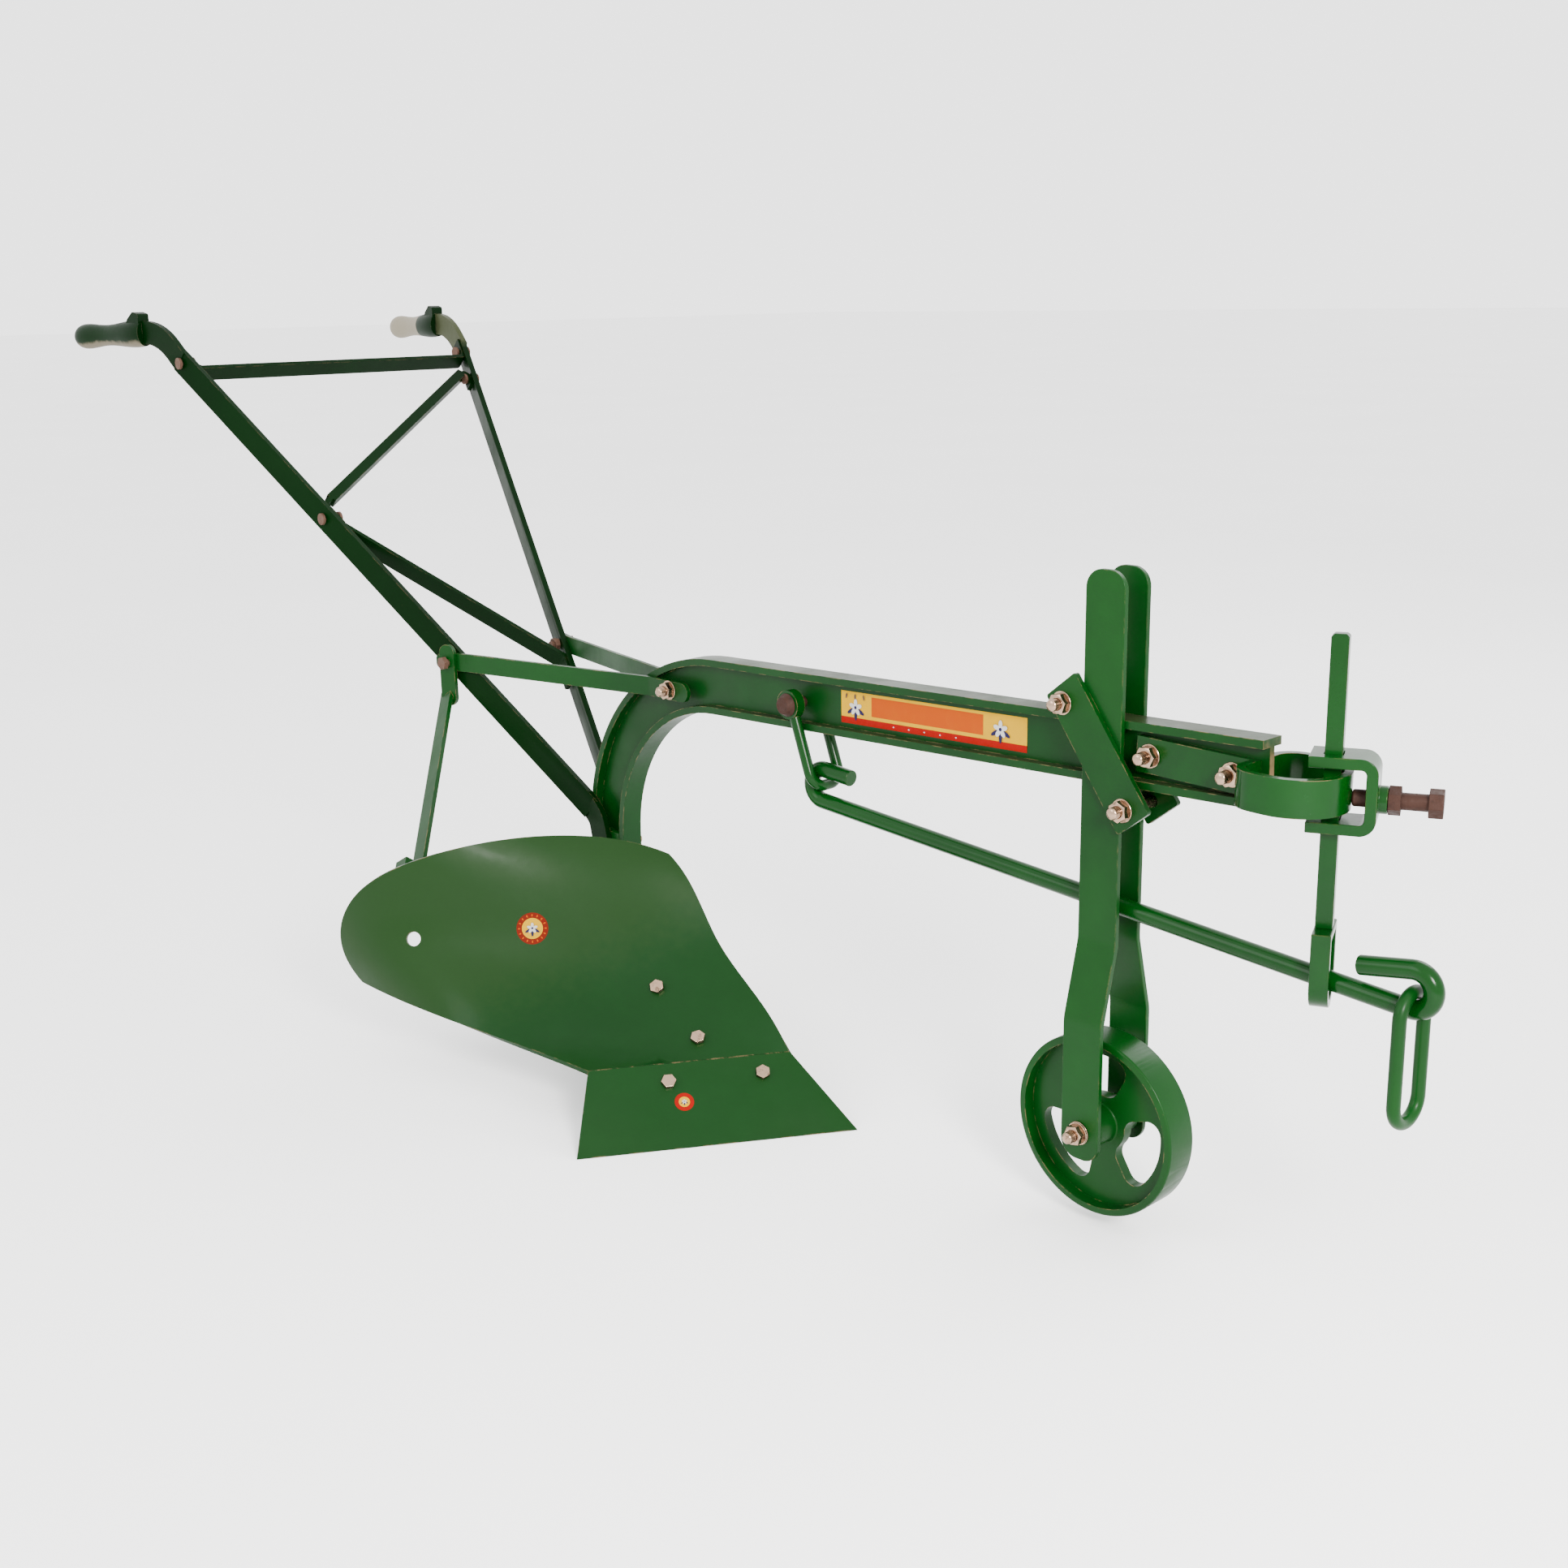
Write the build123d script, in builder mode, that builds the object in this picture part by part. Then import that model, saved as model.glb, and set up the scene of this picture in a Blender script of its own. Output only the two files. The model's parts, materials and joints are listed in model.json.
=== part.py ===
from build123d import *

import os
from math import cos, hypot, radians, sin

os.makedirs("parts", exist_ok=True)

# Walking plow, right-turning, drawn by one animal. X points forward, Y to the plowman's left, Z up.
# The origin is on the sole of the landside, under the beam. Every length is in millimetres.

# Beam: a rolled I section, bent down at the rear into the neck
beam_depth = 67
flange_width = 30
flange_thickness = 8.5
web_thickness = 7
beam_front = Vector(850, 0, 522.5)
beam_slope = 1.75
neck_x = -139
neck_bottom = 100
neck_radius = 224
half_flange = flange_width / 2
half_web = web_thickness / 2

# Depth wheel and the two arms that carry it
arm_x = 670
arm_width = 47
arm_thickness = 6
arm_top = 698
arm_gap = 0.3
wheel_radius = 98
wheel_width = 40
axle_z = 115
arm_spread = 36
arm_end_below_axle = 30

# Hake: a hoop on the beam's end, and a clamp that turns round it with the square bar and the rod guide
strap_height = 36
strap_thickness = 8
hoop_x = 873
hoop_radius = 52
hake_turn = 25
hake_bar_size = 16
hake_bar_top = 659
guide_top = 382
guide_height = 78

# Draw rod, shackle and link
rod_diameter = 19
eye_radius = 19
rod_front = Vector(998.7, 12.6, 345)
rod_hook = Vector(262, -5.5, 407)
shackle_pin_x, shackle_pin_z = 228, 501
shackle_bar = 13
link_bar = 13
link_half_width = 22.5
link_bottom = 209

# Handles and braces: flat bar
handle_width = 32
handle_thickness = 8
handle_top = Vector(-776, 232.5, 873)
handle_fold = Vector(-165, 19.3, 302)
grip_end = Vector(-1038, 272, 916)
brace_thickness = 6

# Plow bottom
share_tip = Vector(330, -23, 0)
share_wing = Vector(155, -306, 0)
share_rise = 40
share_slant = 111
share_thickness = 8
board_thickness = 6

# Fasteners: nominal radius and width across flats
M8, M10, M12, M16 = (4, 13), (5, 16), (6, 19), (8, 24)
hole_play = 0.3


def beam_z(x):
    """Height of the beam's centre line at x, in front of the neck."""
    return beam_front.Z + (x - beam_front.X) * sin(radians(beam_slope)) / cos(radians(beam_slope))


def across(x, z, y):
    """A plane at this y with its normal to the right, so that an extrusion goes from y towards -Y."""
    return Plane(origin=(x, y, z), x_dir=(1, 0, 0), z_dir=(0, -1, 0))


def bar_y(x, z, y_from, y_to, radius, mode=Mode.ADD):
    """A round bar along Y."""
    with BuildSketch(across(x, z, max(y_from, y_to))) as section:
        Circle(radius)
    extrude(section.sketch, amount=abs(y_to - y_from), mode=mode)


def hex_y(x, z, y_from, y_to, flats, turn=0):
    """A hexagonal head or nut along Y, with its outer corners turned off."""
    with BuildSketch(across(x, z, max(y_from, y_to))) as section:
        RegularPolygon(flats / 2, 6, major_radius=False, rotation=turn)
    extrude(section.sketch, amount=abs(y_to - y_from))


def bolt_y(x, z, head_y, end_y, size, turn=0):
    """A hexagon bolt along Y. The head's inner face is at head_y, and the shank ends at end_y."""
    radius, flats = size
    outwards = 1 if head_y > end_y else -1
    hex_y(x, z, head_y, head_y + outwards * 1.25 * radius, flats, turn)
    bar_y(x, z, head_y, end_y, radius)


def nut_y(x, z, inner_y, outwards, size, turn=0):
    """A hexagon nut along Y, bored to clear its bolt."""
    radius, flats = size
    hex_y(x, z, inner_y, inner_y + outwards * 1.6 * radius, flats, turn)
    bar_y(x, z, inner_y - outwards, inner_y + outwards * (1.6 * radius + 1), radius + 0.05, Mode.SUBTRACT)


def washer_y(x, z, inner_y, outwards, size):
    """A plain washer along Y, 2 mm thick."""
    bar_y(x, z, inner_y, inner_y + outwards * 2, size[0] * 2.1)
    bar_y(x, z, inner_y - outwards, inner_y + outwards * 3, size[0] + 0.2, Mode.SUBTRACT)


def hole_y(x, z, size, y_from=-400, y_to=400):
    """A bolt hole along Y through whatever is there."""
    bar_y(x, z, y_from, y_to, size[0] + hole_play, Mode.SUBTRACT)


def bent_strap(plane, points, bend, thickness, width):
    """A flat strap whose edge follows a path of straight runs and bends in one plane."""
    with BuildSketch(plane) as section:
        with BuildLine():
            FilletPolyline(*points, radius=bend)
        trace(line_width=thickness)
    extrude(section.sketch, amount=width / 2, both=True)


def upright_plane(start, end):
    """The upright plane through two points. Its x runs from start towards end, and its y is up."""
    along = Vector(end.X - start.X, end.Y - start.Y, 0).normalized()
    return Plane(origin=(start.X, start.Y, 0), x_dir=along, z_dir=Vector(along.Y, -along.X, 0))


def save(part, name):
    part.label = name
    export_step(part, f"parts/{name}.step")


# Bolt places that several pieces share, as (x, z)
stay_bolt = (6, 486)
foot_bolts = [(-141, 252), (-134, 207)]
frog_bolt = (-139, 150)
strap_bolts = [(721, 519.5), (815, 517.2)]
clamp_bolts = [(625, 561), (702, 464)]
shackle_hole = (shackle_pin_x, shackle_pin_z)

# ---------------------------------------------------------------- beam
with BuildPart() as beam:
    with BuildSketch(Plane.XZ):
        with BuildLine():
            FilletPolyline(
                (neck_x, neck_bottom),
                (neck_x, beam_z(neck_x)),
                (beam_front.X, beam_front.Z),
                radius=neck_radius,
            )
        trace(line_width=beam_depth)
    extrude(amount=half_flange, both=True)
    for side in (1, -1):
        with BuildSketch(Plane.XZ.offset(side * half_web)):
            with BuildLine():
                FilletPolyline(
                    (neck_x, neck_bottom - 1),
                    (neck_x, beam_z(neck_x)),
                    (beam_front.X + 1, beam_z(beam_front.X + 1)),
                    radius=neck_radius,
                )
            trace(line_width=beam_depth - 2 * flange_thickness)
        extrude(amount=side * half_flange, mode=Mode.SUBTRACT)
    for x, z in [stay_bolt, shackle_hole, frog_bolt, *foot_bolts, *strap_bolts]:
        hole_y(x, z, M12)
save(beam.part, "beam")

# ---------------------------------------------------------------- plow bottom
edge = (share_tip - share_wing).normalized()
level = Vector(-edge.Y, edge.X, 0)
upslope = level * cos(radians(share_rise)) + Vector(0, 0, sin(radians(share_rise)))
share_face = Plane(origin=share_wing, x_dir=edge, z_dir=edge.cross(upslope))
share_bolts = [(118, 86), (232, 86)]

with BuildPart() as share:
    with BuildSketch(share_face):
        with BuildLine():
            Polyline((0, 0), (333, 0), (270, share_slant), (25, share_slant), close=True)
        make_face()
    extrude(amount=-share_thickness)
    with BuildSketch(Plane.XY):
        with Locations((250, -150)):
            Rectangle(600, 600)
    extrude(amount=-40, mode=Mode.SUBTRACT)
    with BuildSketch(share_face.offset(1)):
        with Locations(*share_bolts):
            Circle(M10[0] + hole_play)
    extrude(amount=-30, mode=Mode.SUBTRACT)
save(share.part, "share")


board_low_front = share_face.from_local_coords(Vector(269, share_slant + 0.4, 0))
board_low_rear = share_face.from_local_coords(Vector(25, share_slant + 0.4, 0))
board_top_front = Vector(6, -30, 276)
board_tail = Vector(-255, -330, 116)
wing_hole = Vector(-180.3, -296, 184)
wing_hole_radius = 9

with BuildLine() as board_outline:
    Line(board_low_front, board_low_rear)
    Spline(board_low_rear, (-34, -272, 85), (-160, -309, 101), board_tail)
    Spline(
        board_tail,
        (-280, -342, 178),
        (-246, -333, 238),
        (-188, -290, 281),
        (-131, -190, 301),
        (-85, -110, 299),
        (-28, -56, 289),
        board_top_front,
    )
    Spline(board_top_front, (34, -26, 251), (90, -26, 180), (176, -28, 115), board_low_front)
board_skin = Face.make_surface(
    board_outline.edges(),
    surface_points=[(-60, -162, 180), (-170, -283, 190)],
)


def board_plane(x, y, z):
    """The plane tangent to the board at the place nearest to a point, its normal towards the soil side."""
    normal = board_skin.normal_at((x, y, z))
    normal = normal if normal.Z > 0 else -normal
    hits = board_skin.find_intersection_points(Axis(Vector(x, y, z) - normal * 60, normal))
    place = min((hit[0] for hit in hits), key=lambda hit: (hit - Vector(x, y, z)).length)
    return Plane(origin=place, x_dir=edge, z_dir=normal)


board_bolt_planes = [board_plane(143.6, -108.3, 87.3), board_plane(62.2, -102.6, 130.1)]
wing_hole_plane = board_plane(*wing_hole)

with BuildPart() as mouldboard:
    thicken(board_skin, amount=-board_thickness)
    for plane, radius in zip(
        (wing_hole_plane, *board_bolt_planes), (wing_hole_radius, M10[0] + hole_play, M10[0] + hole_play)
    ):
        with BuildSketch(plane.offset(20)):
            Circle(radius)
        extrude(amount=-50, mode=Mode.SUBTRACT)
    add(share.part, mode=Mode.SUBTRACT)
save(mouldboard.part, "mouldboard")

landside_left = 4
landside_thickness = 10
landside_bolts = [(-110, 45), (60, 45)]
heel_bolt = (-160, 50)
with BuildPart() as landside:
    with BuildSketch(Plane.XZ.offset(-landside_left)):
        with BuildLine():
            Polyline((-205, 0), (235, 0), (176, 62), (120, 92), (-190, 92), (-205, 78), close=True)
        make_face()
    extrude(amount=landside_thickness)
    for x, z in [*landside_bolts, heel_bolt]:
        hole_y(x, z, M10)
save(landside.part, "landside")

with BuildPart() as heel:
    with BuildSketch(Plane.XZ.offset(-landside_left)):
        with BuildLine():
            Polyline(
                (-232, 0), (-120, 0), (-120, 26), (-150, 26), (-150, 70), (-200, 70), (-232, 20), close=True
            )
        make_face()
    extrude(amount=-10)
    hole_y(*heel_bolt, M10)
save(heel.part, "heel")

# The frog ties the beam, the landside, the share and the mouldboard together
frog_right = -18
seat_thickness = 9
rib_thickness = 14
rib_top = 95
with BuildPart() as frog:
    with BuildSketch(Plane.XZ.offset(6)):
        with BuildLine():
            Polyline((-172, 3), (238, 3), (203, 48), (158, 88), (148, 98), (-172, 98), close=True)
        make_face()
    extrude(amount=-frog_right - 6)
    with BuildSketch(Plane.XZ.offset(half_web + 0.2)):
        with Locations((neck_x, 182)):
            Rectangle(48, 186)
    extrude(amount=half_flange - half_web - 0.2)
    with BuildSketch(share_face.offset(-share_thickness)):
        with BuildLine():
            Polyline((90, 62), (262, 62), (262, 112), (90, 112), close=True)
        make_face()
    extrude(amount=-seat_thickness)
    for place in (136, 175):
        foot = share_wing + edge * place
        rib_reach = (-foot.Y - 12) / level.Y
        with BuildSketch(Plane(origin=foot, x_dir=level, z_dir=level.cross(Vector(0, 0, 1)))):
            with BuildLine():
                Polyline(
                    (45, 6), (rib_reach, 6), (rib_reach, rib_top), (190, rib_top - 1), (95, 66), (45, 27),
                    close=True,
                )
            make_face()
        extrude(amount=rib_thickness / 2, both=True)
    for plane, reach in zip(board_bolt_planes, (62, 150)):
        with BuildSketch(plane.offset(-board_thickness / 2)):
            Circle(15)
        extrude(amount=-reach)
    with BuildSketch(share_face.offset(-share_thickness)):
        with Locations((200, 10)):
            Rectangle(700, 202)
    extrude(amount=60, mode=Mode.SUBTRACT)
    add([mouldboard.part, share.part], mode=Mode.SUBTRACT)
    with BuildSketch(Plane.XZ.offset(-landside_left)):
        with Locations((0, 45)):
            Rectangle(600, 96)
    extrude(amount=landside_thickness, mode=Mode.SUBTRACT)
    for x, z in [frog_bolt, *foot_bolts]:
        hole_y(x, z, M12)
    for x, z in [*landside_bolts, heel_bolt]:
        hole_y(x, z, M10)
    with BuildSketch(share_face.offset(1)):
        with Locations(*share_bolts):
            Circle(M10[0] + hole_play)
    extrude(amount=-40, mode=Mode.SUBTRACT)
    for plane in board_bolt_planes:
        with BuildSketch(plane.offset(1)):
            Circle(M10[0] + hole_play)
        extrude(amount=-55, mode=Mode.SUBTRACT)
save(frog.part, "frog")

# ---------------------------------------------------------------- handles, braces and stays
grip_fold_x = -785
main_slope = (handle_top.Z - handle_fold.Z) / (handle_fold.X - handle_top.X)


def main_z(x):
    """Height of the handle's centre line on its straight run."""
    return handle_fold.Z + (handle_fold.X - x) * main_slope


def main_y(x):
    """Distance of the handle's centre line from the beam's middle on its straight run."""
    spread = (handle_top.Y - handle_fold.Y) / (handle_fold.X - handle_top.X)
    return handle_fold.Y + (handle_fold.X - x) * spread


grip_fold = Vector(grip_fold_x, main_y(grip_fold_x), main_z(grip_fold_x))
grip_corner_x = -828
tang_width = 20
tang_start = -872


def mirrored(point, side):
    """The point on the left for side 1, and its mirror image on the right for side -1."""
    return Vector(point.X, side * point.Y, point.Z)


def handle(side):
    """A flat bar in three upright planes: the foot on the neck, the straight run, and the bent top."""
    foot = Vector(-128, 19.3, 188)
    fold, top, end = (mirrored(p, side) for p in (handle_fold, grip_fold, grip_end))
    foot_plane = upright_plane(fold, mirrored(foot, side))
    main_plane = upright_plane(fold, top)
    grip_plane = upright_plane(top, end)
    reach = hypot(top.X - fold.X, top.Y - fold.Y)
    with BuildPart() as bar:
        with BuildSketch(foot_plane) as section:
            with BuildLine():
                FilletPolyline((-3, handle_fold.Z + 3), (13, 290), (37, foot.Z), radius=30)
            trace(line_width=handle_width)
        extrude(section.sketch, amount=handle_thickness / 2, both=True)
        with BuildSketch(main_plane) as section:
            with BuildLine():
                Line((-1, fold.Z - 1), (reach + 1, top.Z + 1))
            trace(line_width=handle_width)
        extrude(section.sketch, amount=handle_thickness / 2, both=True)
        run = hypot(end.X - top.X, end.Y - top.Y)
        ratio = run / (top.X - end.X)
        corner = (top.X - grip_corner_x) * ratio
        shoulder = (top.X - tang_start) * ratio
        with BuildSketch(grip_plane) as section:
            with BuildLine():
                FilletPolyline(
                    (-1, top.Z - 1),
                    (corner, main_z(grip_corner_x)),
                    (shoulder, main_z(grip_corner_x) - 1),
                    radius=90,
                )
            trace(line_width=handle_width)
        extrude(section.sketch, amount=handle_thickness / 2, both=True)
        with BuildSketch(grip_plane) as section:
            with Locations((shoulder + 30, main_z(grip_corner_x) - 2)):
                Rectangle(70, tang_width)
        extrude(section.sketch, amount=handle_thickness / 2, both=True)
        for x, z in foot_bolts:
            hole_y(x, z, M12, 0, side * 60)
        hole_y(*handle_stay_bolt, M10, 0, side * 400)
        for x, z in rivet_places(side):
            hole_y(x, z, M8, 0, side * 400)
        add(beam.part, mode=Mode.SUBTRACT)
    return bar.part


# The braces lie in the sloping plane that holds both handles' straight runs
lattice_down = Vector(handle_fold.X - handle_top.X, 0, handle_fold.Z - handle_top.Z).normalized()
lattice = Plane(
    origin=(handle_top.X, 0, handle_top.Z), x_dir=(0, 1, 0), z_dir=(-lattice_down.Z, 0, lattice_down.X)
)
lattice_length = hypot(handle_fold.X - handle_top.X, handle_fold.Z - handle_top.Z)
spread_rate = (handle_top.Y - handle_fold.Y) / lattice_length
upper_rivet, crossing_rivet, lower_rivet = -8, 298, 620
diagonal_rivet = 50


def down_handle(distance):
    """The (x, z) of a place on the handle's straight run, this far below its top."""
    return handle_top.X + lattice_down.X * distance, handle_top.Z + lattice_down.Z * distance


def rivet_places(side):
    """Where this side's handle is drilled for the braces."""
    own = (upper_rivet, diagonal_rivet, lower_rivet) if side > 0 else (upper_rivet, crossing_rivet)
    return [down_handle(d) for d in own]


handle_stay_bolt = (-361, 485.2)
right_handle = handle(-1)
left_handle = handle(1)
save(right_handle, "right_handle")
save(left_handle, "left_handle")


def tab_x(distance, layer=0):
    """How far out a brace's end tab lies, against the inside of the handle or of another tab."""
    inner_face = handle_top.Y - spread_rate * distance - handle_thickness / 2 * 1.035
    return inner_face - brace_thickness / 2 - 0.1 - layer * (brace_thickness + 0.2)


def brace(points, width, holes, core=0):
    """A brace with flat ends turned along the handles, and a square bar between them if it has a core.

    Points are (side, distance, layer).
    """
    places = [(side * tab_x(d, layer), -d) for side, d, layer in points]
    with BuildPart() as bar:
        bent_strap(lattice, places, 8, brace_thickness, width)
        if core:
            start, end = Vector(*places[1]), Vector(*places[2])
            along = (end - start).normalized()
            with BuildSketch(lattice) as section:
                with BuildLine():
                    Line(start + along * 16, end - along * 16)
                trace(line_width=core)
            extrude(section.sketch, amount=width / 2, both=True)
        for side, distance in holes:
            x, z = down_handle(distance)
            hole_y(x, z, M8, 0, side * 400)
        add([right_handle, left_handle], mode=Mode.SUBTRACT)
    return bar.part


upper_brace = brace(
    [(-1, -24, 0), (-1, 12, 0), (1, 12, 0), (1, -24, 0)], 24, [(-1, upper_rivet), (1, upper_rivet)]
)
diagonal_brace = brace(
    [(1, 68, 0), (1, 32, 0), (-1, 276, 1), (-1, 314, 1)], 14, [(1, diagonal_rivet), (-1, crossing_rivet)], 14
)
lower_brace = brace(
    [(-1, 282, 0), (-1, 320, 0), (1, 598, 0), (1, 638, 0)], 25, [(-1, crossing_rivet), (1, lower_rivet)]
)
save(upper_brace, "upper_handle_brace")
save(diagonal_brace, "diagonal_handle_brace")
save(lower_brace, "lower_handle_brace")

with BuildPart() as brace_rivets:
    for side, distance, inner in (
        (-1, upper_rivet, 6.3),
        (1, upper_rivet, 6.3),
        (1, diagonal_rivet, 6.3),
        (-1, crossing_rivet, 12.6),
        (1, lower_rivet, 6.3),
    ):
        x, z = down_handle(distance)
        middle = handle_top.Y - spread_rate * distance
        outer_face = middle + handle_thickness / 2 + 1.2
        inner_face = middle - handle_thickness / 2 - inner - 1.6
        bar_y(x, z, side * outer_face, side * inner_face, M8[0] - 0.2)
        bar_y(x, z, side * outer_face, side * (outer_face + 3.5), 8)
        bar_y(x, z, side * inner_face, side * (inner_face - 3.5), 8)
    add([right_handle, left_handle, upper_brace, diagonal_brace, lower_brace], mode=Mode.SUBTRACT)
save(brace_rivets.part, "brace_rivets")

stay_z = 485.5
stay_thickness = 6
handle_turn = (handle_top.Y - handle_fold.Y) / (handle_fold.X - handle_top.X)
stay_out = main_y(handle_stay_bolt[0]) + handle_thickness / 2 * 1.06 + 0.2
stay_mid = stay_out + stay_thickness / 2 * 1.06


def beam_stay(side):
    """A flat stay from the handle to the side of the beam."""
    tab = [(x, side * (stay_mid + (handle_stay_bolt[0] - x) * handle_turn)) for x in (-384, -338)]
    beam_side = side * (half_flange + 0.1 + stay_thickness / 2)
    with BuildPart() as bar:
        line = [*tab, (-34, beam_side), (40, beam_side)]
        bent_strap(Plane.XY.offset(stay_z), line, 30, stay_thickness, 24)
        with BuildSketch(Plane.XZ) as ends:
            with Locations(((-384 + 40) / 2, stay_z)):
                SlotOverall(40 + 384, 24)
        extrude(ends.sketch, amount=200, both=True, mode=Mode.INTERSECT)
        hole_y(*stay_bolt, M12, 0, side * 60)
        hole_y(*handle_stay_bolt, M10, 0, side * 400)
    return bar.part


right_beam_stay = beam_stay(-1)
left_beam_stay = beam_stay(1)
save(right_beam_stay, "right_beam_stay")
save(left_beam_stay, "left_beam_stay")

# The mouldboard stay runs from the right handle down to a lug behind the board
knuckle_y = -(stay_out + stay_thickness * 1.06 + 0.2 + stay_thickness / 2 * 1.06)
stay_bend = Vector(-366, knuckle_y - 1.5, 440)
stay_foot = Vector(-214, -262, 258)
stay_down = (stay_foot - stay_bend).normalized()
stay_flat = Plane(origin=stay_foot + stay_down * 10, x_dir=Vector(1, handle_turn, 0.75), z_dir=stay_down)
stay_foot_outwards = -stay_flat.y_dir if stay_flat.y_dir.Y > 0 else stay_flat.y_dir
stay_foot_plane = Plane(origin=stay_flat.origin, x_dir=stay_down, z_dir=stay_foot_outwards)
with BuildPart() as mouldboard_stay:
    tab_plane = Plane(
        origin=(handle_stay_bolt[0], knuckle_y, 0),
        x_dir=Vector(1, handle_turn, 0),
        z_dir=Vector(handle_turn, -1, 0),
    )
    with BuildSketch(tab_plane):
        with Locations((0, 468)):
            SlotOverall(84, 24, rotation=90)
    extrude(amount=stay_thickness / 2, both=True)
    with BuildSketch(Plane(origin=stay_bend - stay_down * 8, x_dir=stay_flat.x_dir, z_dir=stay_down)):
        Rectangle(22, stay_thickness)
    extrude(amount=(stay_foot - stay_bend).length + 26)
    hole_y(*handle_stay_bolt, M10, 0, -400)
    with BuildSketch(stay_foot_plane.offset(-20)):
        Circle(M8[0] + hole_play)
    extrude(amount=40, mode=Mode.SUBTRACT)
save(mouldboard_stay.part, "mouldboard_stay")

# The lug is welded to the back of the mouldboard, under the foot of its stay
stay_foot_face = stay_thickness / 2 + 0.1
with BuildPart() as board_lug:
    with BuildSketch(stay_foot_plane.offset(stay_foot_face)):
        Rectangle(30, 22)
    extrude(amount=24)
    add(mouldboard.part, mode=Mode.SUBTRACT)
    with BuildSketch(stay_foot_plane):
        Circle(M8[0] + hole_play)
    extrude(amount=stay_foot_face + 10, mode=Mode.SUBTRACT)
save(board_lug.part, "mouldboard_lug")

# ---------------------------------------------------------------- depth wheel
hub_radius = 21
hub_length = 2 * arm_spread - 6
bush_radius = 10
rim_thickness = 8
web_plate = 12
window_inner, window_outer = 31, 76
with BuildPart() as wheel:
    with BuildSketch(across(arm_x, axle_z, wheel_width / 2)):
        Circle(wheel_radius)
        Circle(wheel_radius - rim_thickness, mode=Mode.SUBTRACT)
    extrude(amount=wheel_width)
    with BuildSketch(across(arm_x, axle_z, web_plate / 2)):
        Circle(wheel_radius - rim_thickness + 1)
    extrude(amount=web_plate)
    bar_y(arm_x, axle_z, -hub_length / 2, hub_length / 2, hub_radius)
    for turn in (0, 120, 240):
        with BuildSketch(across(arm_x, axle_z, wheel_width / 2)):
            with BuildLine():
                CenterArc((0, 0), (window_inner + window_outer) / 2, turn + 62, 76)
            trace(line_width=window_outer - window_inner)
            fillet(vertices(), radius=14)
        extrude(amount=wheel_width, mode=Mode.SUBTRACT)
    bar_y(arm_x, axle_z, -hub_length, hub_length, bush_radius + 0.05, Mode.SUBTRACT)
    for radius, rounding in ((wheel_radius, 2.5), (hub_radius, 2)):
        rims = wheel.edges().filter_by(GeomType.CIRCLE).filter_by(lambda e: abs(e.radius - radius) < 0.1)
        fillet(rims, rounding)
save(wheel.part, "wheel")

with BuildPart() as wheel_bush:
    bar_y(arm_x, axle_z, -arm_spread + 0.1, arm_spread - 0.1, bush_radius)
    bar_y(arm_x, axle_z, -arm_spread, arm_spread, M12[0] + 0.2, Mode.SUBTRACT)
save(wheel_bush.part, "wheel_bush")

arm_inner = half_flange + arm_gap
arm_kink_top, arm_kink_bottom = 318, 236
arm_bottom = axle_z - arm_end_below_axle


def wheel_arm(side):
    """A flat bar beside the beam, set outwards below to clear the wheel."""
    top_y, low_y = side * (arm_inner + arm_thickness / 2), side * (arm_spread + arm_thickness / 2)
    with BuildPart() as arm:
        bent_strap(
            Plane(origin=(arm_x, 0, 0), x_dir=(0, 1, 0), z_dir=(1, 0, 0)),
            [(top_y, arm_top), (top_y, arm_kink_top), (low_y, arm_kink_bottom), (low_y, arm_bottom)],
            40,
            arm_thickness,
            arm_width,
        )
        with BuildSketch(Plane.XZ) as outline:
            with Locations((arm_x, (arm_top + arm_bottom) / 2)):
                RectangleRounded(arm_width, arm_top - arm_bottom, 19)
        extrude(outline.sketch, amount=100, both=True, mode=Mode.INTERSECT)
        hole_y(arm_x, axle_z, M12)
    return arm.part


save(wheel_arm(-1), "right_wheel_arm")
save(wheel_arm(1), "left_wheel_arm")

axle_face = arm_spread + arm_thickness + 0.1
with BuildPart() as axle_bolt:
    bolt_y(arm_x, axle_z, axle_face + 2.1, -axle_face - 20, M12, 15)
save(axle_bolt.part, "axle_bolt")
with BuildPart() as axle_nut:
    nut_y(arm_x, axle_z, -axle_face - 2.1, -1, M12, 12)
save(axle_nut.part, "axle_nut")
with BuildPart() as axle_washers:
    for side in (1, -1):
        washer_y(arm_x, axle_z, side * axle_face, side, M12)
save(axle_washers.part, "axle_washers")

plate_inner = arm_inner + arm_thickness + arm_gap
plate_thickness = 6


def clamp_plate(side):
    """A slanting plate that presses an arm against the beam."""
    with BuildPart() as plate:
        with BuildSketch(across(0, 0, side * plate_inner if side < 0 else plate_inner + plate_thickness)):
            with BuildLine():
                Polyline((605, 566), (640, 594), (733, 466), (697, 438), close=True)
            make_face()
            fillet(vertices(), radius=3)
        extrude(amount=plate_thickness)
        for x, z in clamp_bolts:
            hole_y(x, z, M12)
    return plate.part


save(clamp_plate(-1), "right_clamp_plate")
save(clamp_plate(1), "left_clamp_plate")

clamp_face = plate_inner + plate_thickness + 0.1
with BuildPart() as clamp_bolt_set:
    for index, (x, z) in enumerate(clamp_bolts):
        bolt_y(x, z, clamp_face, -clamp_face - 17, M12, 20 * index)
save(clamp_bolt_set.part, "clamp_bolts")
with BuildPart() as clamp_nuts:
    for index, (x, z) in enumerate(clamp_bolts):
        nut_y(x, z, -clamp_face, -1, M12, 10 + 25 * index)
save(clamp_nuts.part, "clamp_nuts")

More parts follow.
